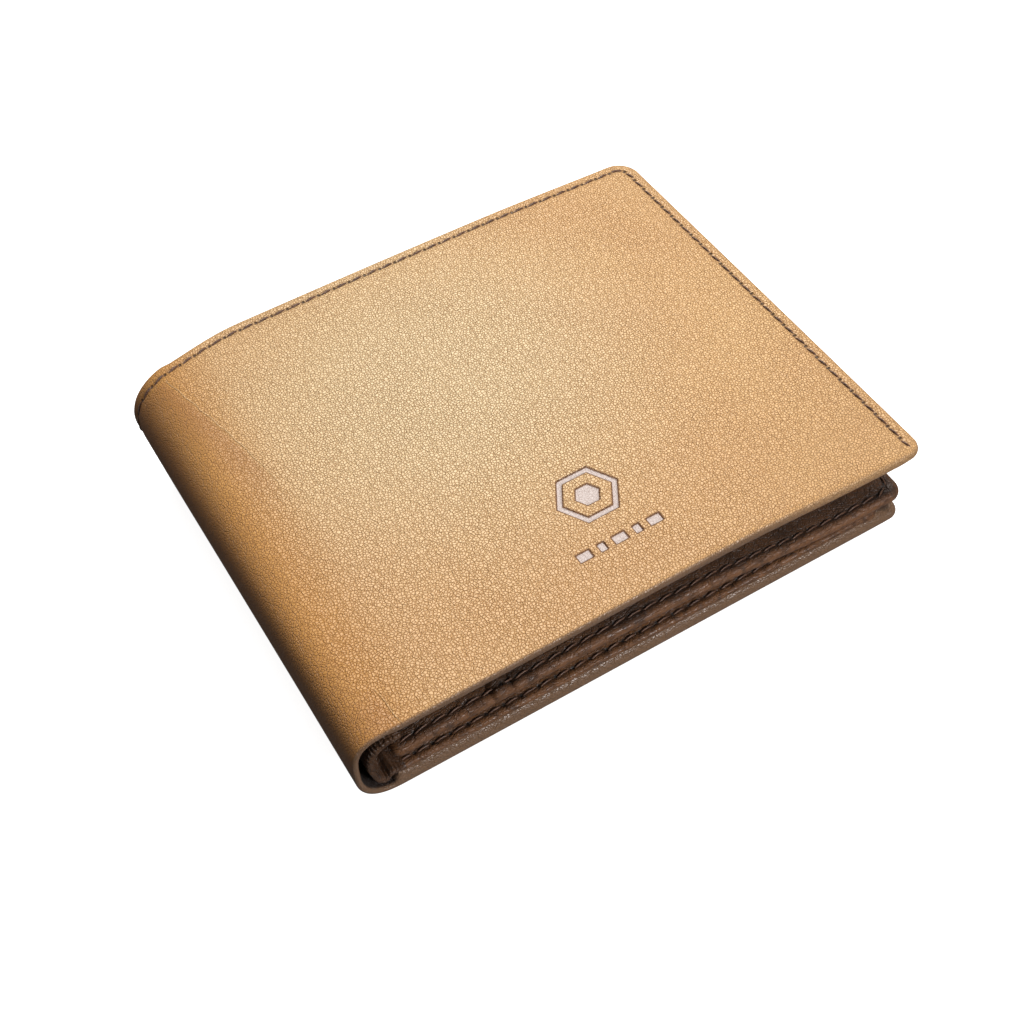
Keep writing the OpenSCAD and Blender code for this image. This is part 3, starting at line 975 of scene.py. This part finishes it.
def inner_body(name, front, fore, near, seam_in):
    """A leather panel with its edge turned under at the open side and a rim at the sewn sides:
    (the piece, the path of its seam)."""
    inside = body_hi[2]                      # depth of the face that carries the pockets
    far, rim, turned = FAR - 0.1, 5.0, 3.4
    stack = stacked(front)
    rounded = lambda x, y: round_corners(x, y, -NO_EDGE, fore, near, far, (0, 2.2, CORNER, 0))

    def place(x, y, depth, square=False):
        if not square:
            x, y, _ = rounded(x, y)
        return stack(notch(x, y, near), y, depth)

    rows = round_rows(0.8, 5)
    seam = [near + seam_in + k for k in (-0.45, -0.15, 0.15, 0.45, 0.8)]
    x = lines([HALF_X, fore - rim - 0.2, fore - rim + 0.2] + [fore - r for r in reversed(rows)]
              + [fore], 1.6)
    y = lines(mirrored(near, far, rows, *seam, near + turned, near + turned + 0.4,
                       far - rim - 0.2, far - rim + 0.2), 1.6)
    shell = Shell(x, y, place)
    d = rounded(shell.s, shell.y)[2]
    seam_d = np.abs(shell.y - near - seam_in)
    rim_in = np.minimum(fore - shell.s, far - shell.y)
    under = inside - 1.3 - 0.4 * smooth(rim + 0.2, rim - 0.2, rim_in)
    under = under - 0.22 * smooth(turned + 0.4, turned, shell.y - near)
    under = under - 0.8 * smooth(4.2, 2.0, rim_in)
    drop = round_depth(d, (inside - under) / 2)
    dip = dent(seam_d, 0.18, 0.4) + dent(seam_d, 0.08, 1.3)
    run = [(HALF_X + 0.6, near + seam_in), (fore - 7.2, near + seam_in)]
    count = along_seam(shell.s, shell.y, run)[1]
    high = shell.level(inside - drop - dip, seam=seam_d, stitch=count)
    shell.runs_on(fore, near)
    shell.close(high, shell.level(under + drop))
    return shell.finish(name, BROWN), surface_path(place, run, inside - 0.1, -1)


def pocket(name, front, number):
    """A card pocket panel, with a rounded mouth and a pressed line beside it: (the piece, the
    paths of its seams)."""
    lo, hi = box_mm(f"back_card_pocket_{number}")
    edge_r = 0.34
    rows = round_rows(edge_r, 3)
    press = lo[1] + 2.2
    x = lines(mirrored(lo[0], hi[0], rows, (lo[0] + 1.7, 0.6), (lo[0] + 2.9, 0.3),
                       hi[0] - 2.9, (hi[0] - 1.7, 0.3)), 2.4)
    y = lines(mirrored(lo[1], hi[1], rows, *(press + k for k in (-0.5, -0.2, 0.2, 0.5))), 2.4)
    place = stacked(front)
    shell = Shell(x, y, place)
    d = inside_rect(shell.s, shell.y, lo[0], hi[0], lo[1], hi[1])
    drop = round_depth(d, edge_r)
    seams = (lo[0] + SEAM_IN, hi[0] - SEAM_IN)
    seam_d = np.minimum(np.abs(shell.s - seams[0]), np.abs(shell.s - seams[1]))
    dip = dent(shell.y - press, 0.14, 0.25) + dent(seam_d, 0.15, 0.4)
    shell.close(shell.level(hi[2] - drop - dip, seam=seam_d, edge=d),
                shell.level(lo[2] + drop, edge=d))
    # only the last pocket is sewn along its whole side, the others as far as the next covers them
    run = 13.0 if number < 3 else hi[1] - lo[1]
    return shell.finish(name, POCKET), [
        surface_path(place, [(sx, lo[1] + 1.6), (sx, lo[1] + run - 1.6)], hi[2] - 0.12, -1)
        for sx in seams]


for front in (False, True):
    half = "front" if front else "back"
    body = half + "_half"
    lo, hi = box_mm(half + "_inner_body")
    strip = bridge(half + "_bridge", front, NEAR + 0.4, FAR - 5)
    across_spine(strip, front)
    declare(strip, "brown_leather", "spine_bridge_lining")

    panel, path = inner_body(half + "_inner_panel", front, hi[0], lo[1], 1.6)
    declare(panel, "brown_leather", half + "_inner_body", body=body)
    declare(sew(half + "_inner_seam", [path], 31, slant=0.12), "thread",
            half + "_inner_stitching", body=body)
    runs = []
    for number in (1, 2, 3):
        panel, paths = pocket(f"{half}_pocket_{number}", front, number)
        declare(panel, "pocket_leather", f"{half}_card_pocket_{number}", body=body)
        runs += paths
    declare(sew(half + "_pocket_seam", runs, 41, slant=0.12), "thread",
            half + "_pocket_stitching", body=body)


# ---- the centre flap ----

FLAP_X0, FLAP_X1 = -50.75, upper_hi[0]
FLAP_Y0, FLAP_Y1 = upper_lo[1], upper_hi[1]
FLAP_TOP, FLAP_BOTTOM = upper_hi[2], lower_lo[2]
FLAP_T = FLAP_TOP - FLAP_BOTTOM
FLAP_CORNERS = (1.6, 3.0, CORNER, 1.6)
FLAP_SEAM, FLAP_PITCH = 2.0, 3.3      # from the edge to the seam, and from stitch to stitch


def flap_sag(x, y):
    """The flap rises a little near the spine and droops towards its free near corner."""
    near = 0.6 + 0.45 * np.exp(-((x + 12) / 20) ** 2) - 3.4 * smooth(8, 46, x)
    return near * (1 - smooth(FLAP_Y0, -6, y)) * smooth(-50, -44, x)


def in_flap(x, y):
    return round_corners(x, y, FLAP_X0, FLAP_X1, FLAP_Y0, FLAP_Y1, FLAP_CORNERS)


def flap_place(x, y, depth, square=False):
    if not square:
        x, y, _ = in_flap(x, y)
    # the butt end reaches further into the spine at the open side
    x = x - 1.1 * (1 - smooth(-46.5, -44, y)) * (1 - smooth(FLAP_X0, FLAP_X0 + 8, x))
    return x, y, FLAP_TOP - depth + flap_sag(x, y)


def flap_seam_path():
    x1, y0, y1, r = FLAP_X1 - FLAP_SEAM, FLAP_Y0 + FLAP_SEAM, FLAP_Y1 - FLAP_SEAM, 3.0
    turn = np.linspace(0, math.pi / 2, 6)
    low = [(x1 - r + r * math.sin(a), y0 + r - r * math.cos(a)) for a in turn]
    high = [(x1 - r + r * math.cos(a), y1 - r + r * math.sin(a)) for a in turn]
    return [(FLAP_X0 + 2.5, y0)] + low + high + [(FLAP_X0 + 2.5, y1)]


def flap_upper():
    """The upper leather, turned round the edge to the underside, with two card slits."""
    hem, rows = 6.0, near_lines([1.3, 1.7], round_rows(FLAP_T / 2, 5))
    slits = [(-41.0, 48.6, y, y + 0.8) for y in (-35.0, -9.0)]
    slit_rows = round_rows(0.3, 3)
    seam = [FLAP_SEAM + k for k in (-0.5, -0.25, 0.0, 0.25, 0.5, 0.9)]
    band = [-33.2, -32.9, -32.6, -32.2, -32.0, -31.6, -29.4, -29.0, -28.8, -28.4, -28.1, -27.8]
    edge = near_lines([0.0] + rows, seam)[1:]
    slit_stops = []
    for _, _, a, b in slits:
        slit_stops += around(a, b, slit_rows)
    x = mirrored(FLAP_X0, FLAP_X1, edge, FLAP_X0 + hem, (-41.5, 1.4), (-41.0, 0.3), *band, 48.6,
                 (49.1, 0.3), FLAP_X1 - hem)
    y = mirrored(FLAP_Y0, FLAP_Y1, edge, FLAP_Y0 + hem, *slit_stops, FLAP_Y1 - hem)
    shell = Shell(lines(x, 1.4), lines(y, 1.4), flap_place)
    px, py, d = in_flap(shell.s, shell.y)
    seam_d, count = along_seam(px, py, flap_seam_path(), FLAP_PITCH)
    drop = round_depth(d, FLAP_T / 2)
    top = drop + dent(seam_d, 0.2, 0.4) + dent(seam_d, 0.1, 1.3)
    for box in slits:
        top = top + round_depth(outside_rect(shell.s, shell.y, *box), 0.3)
    # a narrow leather band wrapped over the near edge
    from_near = shell.y - FLAP_Y0
    over = smooth(-32.2, -31.7, px) * smooth(-28.8, -29.3, px) * smooth(4.2, 3.8, from_near)
    beside = dent(px + 32.6, 0.3, 0.35) + dent(px + 28.4, 0.3, 0.35)
    top = top - 0.42 * over + beside * smooth(4.6, 4.0, from_near)
    face, board, back = 0.9, 1.6, FLAP_T - 0.5
    high = shell.level(top, seam=seam_d, edge=np.minimum(d, AWAY), stitch=count)
    low = shell.level(np.where(d < 1.5, FLAP_T - drop, back), edge=d)
    shell.runs_on(FLAP_X1, FLAP_Y0)
    inner, room = shell.level(face), shell.level(board)
    cx, cy = shell.cell_s, shell.cell_y
    to_edge = inside_rect(cx, cy, FLAP_X0, FLAP_X1, FLAP_Y0, FLAP_Y1)
    cut = ~shell.whole
    for box in slits:
        cut |= outside_rect(cx, cy, *box) == 0
    rim = to_edge < hem
    hollow = rim & (to_edge > 1.3)
    solid = rim & ~hollow
    middle = ~rim & ~cut
    shell.cover(high, ~cut)
    shell.cover(low, rim)
    shell.cover(room, hollow)
    shell.cover(inner, hollow | middle)
    shell.wall(inner, room, solid, hollow)
    shell.wall(room, low, hollow, ~rim)
    shell.wall(high, inner, middle, cut)
    shell.wall(high, low, solid, ~shell.whole, ends=True)
    return shell.finish("flap_upper", BROWN)


def flap_lower():
    """The lower face: it lies over the turned edge and frames the window."""
    inset, hem, edge_r, frame_r = 1.75, 6.2, 0.24, 0.4
    x0, x1, y0, y1 = FLAP_X0 + inset, FLAP_X1 - inset, FLAP_Y0 + inset, FLAP_Y1 - inset
    (wx0, wy0), (wx1, wy1) = film_lo[:2] + 4, film_hi[:2] - 4
    turned = hem - inset
    rows, frame_rows = round_rows(edge_r, 3), round_rows(frame_r, 3)

    def stops(a, b, w0, w1):
        return lines(in_order(mirrored(
            a, b, rows, a + turned, (a + turned + 0.3, 0.2), *around(w0, w1, frame_rows),
            b - turned - 0.3, (b - turned, 0.2))), 1.8)

    radii = tuple(max(0.5, r - inset) for r in FLAP_CORNERS)
    rounded = lambda x, y: round_corners(x, y, x0, x1, y0, y1, radii)

    def place(x, y, depth):
        x, y, _ = rounded(x, y)
        return x, y, FLAP_BOTTOM + depth + flap_sag(x, y)

    shell = Shell(stops(x0, x1, wx0, wx1), stops(y0, y1, wy0, wy1), place)
    px, py, d = rounded(shell.s, shell.y)
    seam_d = near_path(px, py, flap_seam_path())[0]
    window = outside_rect(shell.s, shell.y, wx0, wx1, wy0, wy1)
    outer = round_depth(d, edge_r) + round_depth(window, frame_r) + dent(seam_d, 0.12, 0.4)
    # thicker inside the turned edge, where it reaches the film
    top = 0.5 + 0.38 * smooth(turned, turned + 0.3, d) - round_depth(d, edge_r)
    cells = outside_rect(shell.cell_s, shell.cell_y, wx0, wx1, wy0, wy1) > 0
    shell.close(shell.level(outer, seam=seam_d, edge=np.minimum(d, window)), shell.level(top),
                cells)
    return shell.finish("flap_lower", BROWN)


def flap_layer(name, material, lo, hi):
    """A flat sheet inside the flap, bent with it."""
    place = lambda x, y, z: (x, y, z + flap_sag(x, y))
    return slab(name, material, [lo[0], hi[0]], [lo[1], hi[1]], place, hi[2] - 0.02, lo[2] + 0.02)


for piece, slot, *nodes in (
        (flap_upper(), "brown_leather", "flap_upper_face", "flap_hinge_fold"),
        (flap_lower(), "brown_leather", "flap_lower_face"),
        (flap_layer("flap_board", BOARD, core_lo, core_hi), "board", "flap_core_board"),
        (flap_layer("flap_film", FILM, film_lo, film_hi), "clear_film", "flap_window_film")):
    declare(piece, slot, *nodes, body="centre_flap")

for name, node, seed, depth, facing in (
        ("flap_seam", "flap_stitching", 53, 0.1, 1),
        ("flap_under_seam", "flap_underside_stitching", 59, FLAP_T - 0.08, -1)):
    path = surface_path(flap_place, flap_seam_path(), depth, facing)
    thread = sew(name, [path], seed, pitch=FLAP_PITCH, length=2.8, width=0.38, slant=0.15)
    declare(thread, "thread", node, body="centre_flap")


def hinge_web():
    """The leather web that stands on the back inner body and carries the flap."""
    z = lines([web_lo[2], web_lo[2] + 0.3, FLAP_BOTTOM - 0.35, FLAP_BOTTOM - 0.1], 0.4)
    mid_x, half_t = (web_lo[0] + web_hi[0]) / 2, (web_hi[0] - web_lo[0]) / 2

    def place(up, y, side):
        d = np.minimum(y - web_lo[1], web_hi[1] - y)
        foot = 0.3 * smooth(web_lo[2] + 0.9, web_lo[2], up)
        bow = 0.12 * np.sin(y / 7.0) * np.sin((up - web_lo[2]) / 3.4 * math.pi)
        return mid_x + bow + side * (half_t - round_depth(d, half_t) + foot), y, up

    return slab("hinge_web", BROWN, z, mirrored(web_lo[1], web_hi[1], (0.05, 0.2, 0.45)), place,
                1.0, -1.0, step=3.0)


declare(hinge_web(), "brown_leather", "flap_hinge_web", body="back_half")


# ---- floor, lights and camera ----

FLOOR_DROP = 0.006                    # the spine hangs this low when the wallet lies open


def floor():
    mesh = bpy.data.meshes.new("floor")
    k = 3.0
    mesh.from_pydata([(-k, -k, 0), (k, -k, 0), (k, k, 0), (-k, k, 0)], [], [(0, 1, 2, 3)])
    f = Finish("floor")
    f.set(Base_Color=(0.9, 0.9, 0.9, 1), Roughness=0.9, Specular_IOR_Level=0.1,
          Emission_Color=(1, 1, 1, 1), Emission_Strength=0.92)
    mesh.materials.append(f.material)
    piece = in_scene("floor", mesh)
    piece.location.z = cad_box[0].z - FLOOR_DROP
    piece.visible_diffuse = piece.visible_glossy = False


def turned_to(eye, aim):
    return (Vector(aim) - Vector(eye)).to_track_quat("-Z", "Y")


def lamp(name, place, size, power, tint):
    light = bpy.data.lights.new(name, "AREA")
    light.shape, light.size, light.energy, light.color = "DISK", size, power, tint
    piece = in_scene(name, light)
    piece.location = place
    piece.rotation_euler = turned_to(place, (0, 0, 0.01)).to_euler()


def world():
    w = bpy.data.worlds.new("studio")
    w.use_nodes = True
    background = w.node_tree.nodes["Background"].inputs
    background["Color"].default_value = (1, 1, 1, 1)
    background["Strength"].default_value = 0.085
    bpy.context.scene.world = w


def camera():
    data = bpy.data.cameras.new("camera")
    data.sensor_width, data.lens = 36.0, 53.9
    data.clip_start, data.clip_end = 0.01, 20
    piece = in_scene("camera", data)
    eye, aim, roll = (-0.0917, -0.1728, 0.2366), (-0.0085, -0.0153, 0.0095), 3.8
    piece.matrix_world = (Matrix.Translation(eye) @ turned_to(eye, aim).to_matrix().to_4x4()
                          @ Matrix.Rotation(math.radians(-roll), 4, "Z"))
    bpy.context.scene.camera = piece


floor()
world()
lamp("key", (0.20, 0.36, 0.50), 0.42, 2.6, (1.0, 0.985, 0.96))
lamp("top", (0.05, 0.10, 0.60), 0.35, 1.0, (1.0, 0.99, 0.97))
lamp("front", (0.20, -0.56, 0.30), 0.24, 2.5, (0.98, 0.98, 1.0))
camera()

bpy.context.scene.view_settings.view_transform = "Standard"
bpy.context.scene.view_settings.look = "None"
